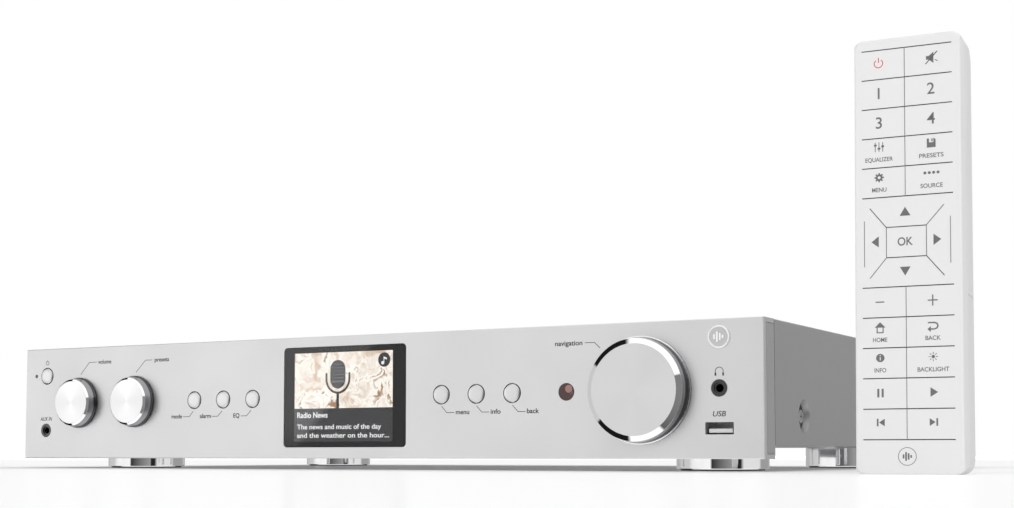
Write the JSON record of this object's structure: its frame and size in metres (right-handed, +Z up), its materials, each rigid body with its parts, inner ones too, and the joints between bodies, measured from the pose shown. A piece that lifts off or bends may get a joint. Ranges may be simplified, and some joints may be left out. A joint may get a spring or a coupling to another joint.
{
  "type": "mini hi-fi tuner with remote control",
  "caption": "Low full-width silver tuner with colour display, turned knobs, push buttons and round chrome feet, with a white remote control standing beside it.",
  "frame": {"origin": "on the surface that the unit stands on, in the middle of its case between the panel's face and the case's rear", "axes": "+Z up, the front panel faces -Y, +X to the right seen from the front"},
  "size_m": [0.5242, 0.3521, 0.1643],
  "materials": {
    "badge_metal": "polished rim",
    "black_plastic": "moulded black",
    "board_green": "solder mask",
    "brass_pins": "plated",
    "button_metal": "satin",
    "can_steel": "tinned",
    "case_paint": "silver-grey powder coat",
    "cell_wrap": "printed sleeve",
    "chrome_foot": "mirror",
    "component_black": "moulded epoxy",
    "display_black": "glossy panel",
    "foot_rubber": "matte",
    "frame_plastic": "moulded, silver-grey",
    "ir_plastic": "dark red, polished",
    "knob_aluminium": "spun face, polished bevel",
    "light_plastic": "dark light pipe",
    "nickel_socket": "nickel",
    "panel_aluminium": "fine blasted, anodised",
    "remote_skin": "satin skin",
    "remote_white": "fine satin",
    "ribbon_white": "flat flex",
    "screw_steel": "bright zinc",
    "shaft_steel": "turned",
    "transformer_core": "ferrite and tape",
    "tray_steel": "zinc-plated sheet",
    "usb_metal": "bright nickel",
    "usb_tongue_plastic": "white",
    "window_glass": "smoked, polished"
  },
  "bodies": {
    "unit": {"antenna_socket": "nickel_socket", "audio_sockets": "nickel_socket", "aux_in_jack": "black_plastic", "badge": "badge_metal", "board_components": "component_black", "board_screws": "screw_steel", "bottom_tray": "tray_steel", "cover_screws": "screw_steel", "digital_sockets": "black_plastic", "display_module": "display_black", "display_window": "window_glass", "foot_pads": "foot_rubber", "foot_screws": "screw_steel", "foot_shells": "chrome_foot", "front_board": "board_green", "front_frame": "frame_plastic", "front_panel": "panel_aluminium", "headphone_jack": "black_plastic", "ir_window": "ir_plastic", "main_board": "board_green", "mains_inlet": "black_plastic", "mains_switch_frame": "black_plastic", "network_socket": "can_steel", "power_board": "board_green", "radio_module": "can_steel", "rear_panel": "case_paint", "rear_screws": "screw_steel", "ribbon_cable": "ribbon_white", "rotary_encoders": "can_steel", "standoffs": "brass_pins", "status_light": "light_plastic", "tact_switches": "component_black", "top_cover": "case_paint", "transformer": "transformer_core", "usb_port": "usb_metal", "usb_tongue": "usb_tongue_plastic"},
    "volume": {"volume_knob": "knob_aluminium", "volume_shaft": "shaft_steel"},
    "presets_push": {"presets_plunger": "component_black"},
    "presets": {"presets_knob": "knob_aluminium", "presets_shaft": "shaft_steel"},
    "navigation_push": {"navigation_plunger": "component_black"},
    "navigation": {"navigation_knob": "knob_aluminium", "navigation_shaft": "shaft_steel"},
    "power_key": {"power_button": "button_metal"},
    "mode_key": {"mode_button": "button_metal"},
    "alarm_key": {"alarm_button": "button_metal"},
    "eq_key": {"eq_button": "button_metal"},
    "menu_key": {"menu_button": "button_metal"},
    "info_key": {"info_button": "button_metal"},
    "back_key": {"back_button": "button_metal"},
    "mains_switch": {"mains_rocker": "black_plastic"},
    "remote": {"remote_batteries": "cell_wrap", "remote_board": "board_green", "remote_contacts": "brass_pins", "remote_emitter": "light_plastic", "remote_front_shell": "remote_white", "remote_keypad": "remote_skin", "remote_rear_shell": "remote_white"},
    "remote_cover": {"remote_battery_cover": "remote_white"}
  },
  "joints": [
    {"name": "volume_turn", "type": "hinge", "parent": "unit", "child": "volume", "pos_m": [-0.175, -0.145, 0.0354], "axis": [0, 1, 0], "continuous": true},
    {"name": "presets_press", "type": "slide", "parent": "unit", "child": "presets_push", "axis": [0, 1, 0], "range_m": [0, 0.0004], "stiffness_N_per_m": 1500, "springref_m": -0.0008},
    {"name": "presets_turn", "type": "hinge", "parent": "presets_push", "child": "presets", "pos_m": [-0.135, -0.145, 0.0354], "axis": [0, 1, 0], "continuous": true},
    {"name": "navigation_press", "type": "slide", "parent": "unit", "child": "navigation_push", "axis": [0, 1, 0], "range_m": [0, 0.0004], "stiffness_N_per_m": 2000, "springref_m": -0.0008},
    {"name": "navigation_turn", "type": "hinge", "parent": "navigation_push", "child": "navigation", "pos_m": [0.1583, -0.145, 0.0354], "axis": [0, 1, 0], "continuous": true},
    {"name": "power_press", "type": "slide", "parent": "unit", "child": "power_key", "axis": [0, 1, 0], "range_m": [0, 0.0005], "stiffness_N_per_m": 1000, "springref_m": -0.0008},
    {"name": "mode_press", "type": "slide", "parent": "unit", "child": "mode_key", "axis": [0, 1, 0], "range_m": [0, 0.0005], "stiffness_N_per_m": 1000, "springref_m": -0.0008},
    {"name": "alarm_press", "type": "slide", "parent": "unit", "child": "alarm_key", "axis": [0, 1, 0], "range_m": [0, 0.0005], "stiffness_N_per_m": 1000, "springref_m": -0.0008},
    {"name": "eq_press", "type": "slide", "parent": "unit", "child": "eq_key", "axis": [0, 1, 0], "range_m": [0, 0.0005], "stiffness_N_per_m": 1000, "springref_m": -0.0008},
    {"name": "menu_press", "type": "slide", "parent": "unit", "child": "menu_key", "axis": [0, 1, 0], "range_m": [0, 0.0005], "stiffness_N_per_m": 1000, "springref_m": -0.0008},
    {"name": "info_press", "type": "slide", "parent": "unit", "child": "info_key", "axis": [0, 1, 0], "range_m": [0, 0.0005], "stiffness_N_per_m": 1000, "springref_m": -0.0008},
    {"name": "back_press", "type": "slide", "parent": "unit", "child": "back_key", "axis": [0, 1, 0], "range_m": [0, 0.0005], "stiffness_N_per_m": 1000, "springref_m": -0.0008},
    {"name": "mains_rock", "type": "hinge", "parent": "unit", "child": "mains_switch", "pos_m": [-0.148, 0.142, 0.0354], "axis": [1, 0, 0], "range_deg": [-16, 0]},
    {"name": "remote_lift", "type": "slide", "parent": "unit", "child": "remote", "axis": [0, 0, 1], "range_m": [0, 0.15]},
    {"name": "battery_cover_off", "type": "slide", "parent": "remote", "child": "remote_cover", "axis": [-0.0464, 0.998, -0.0419], "range_m": [0, 0.03]}
  ]
}
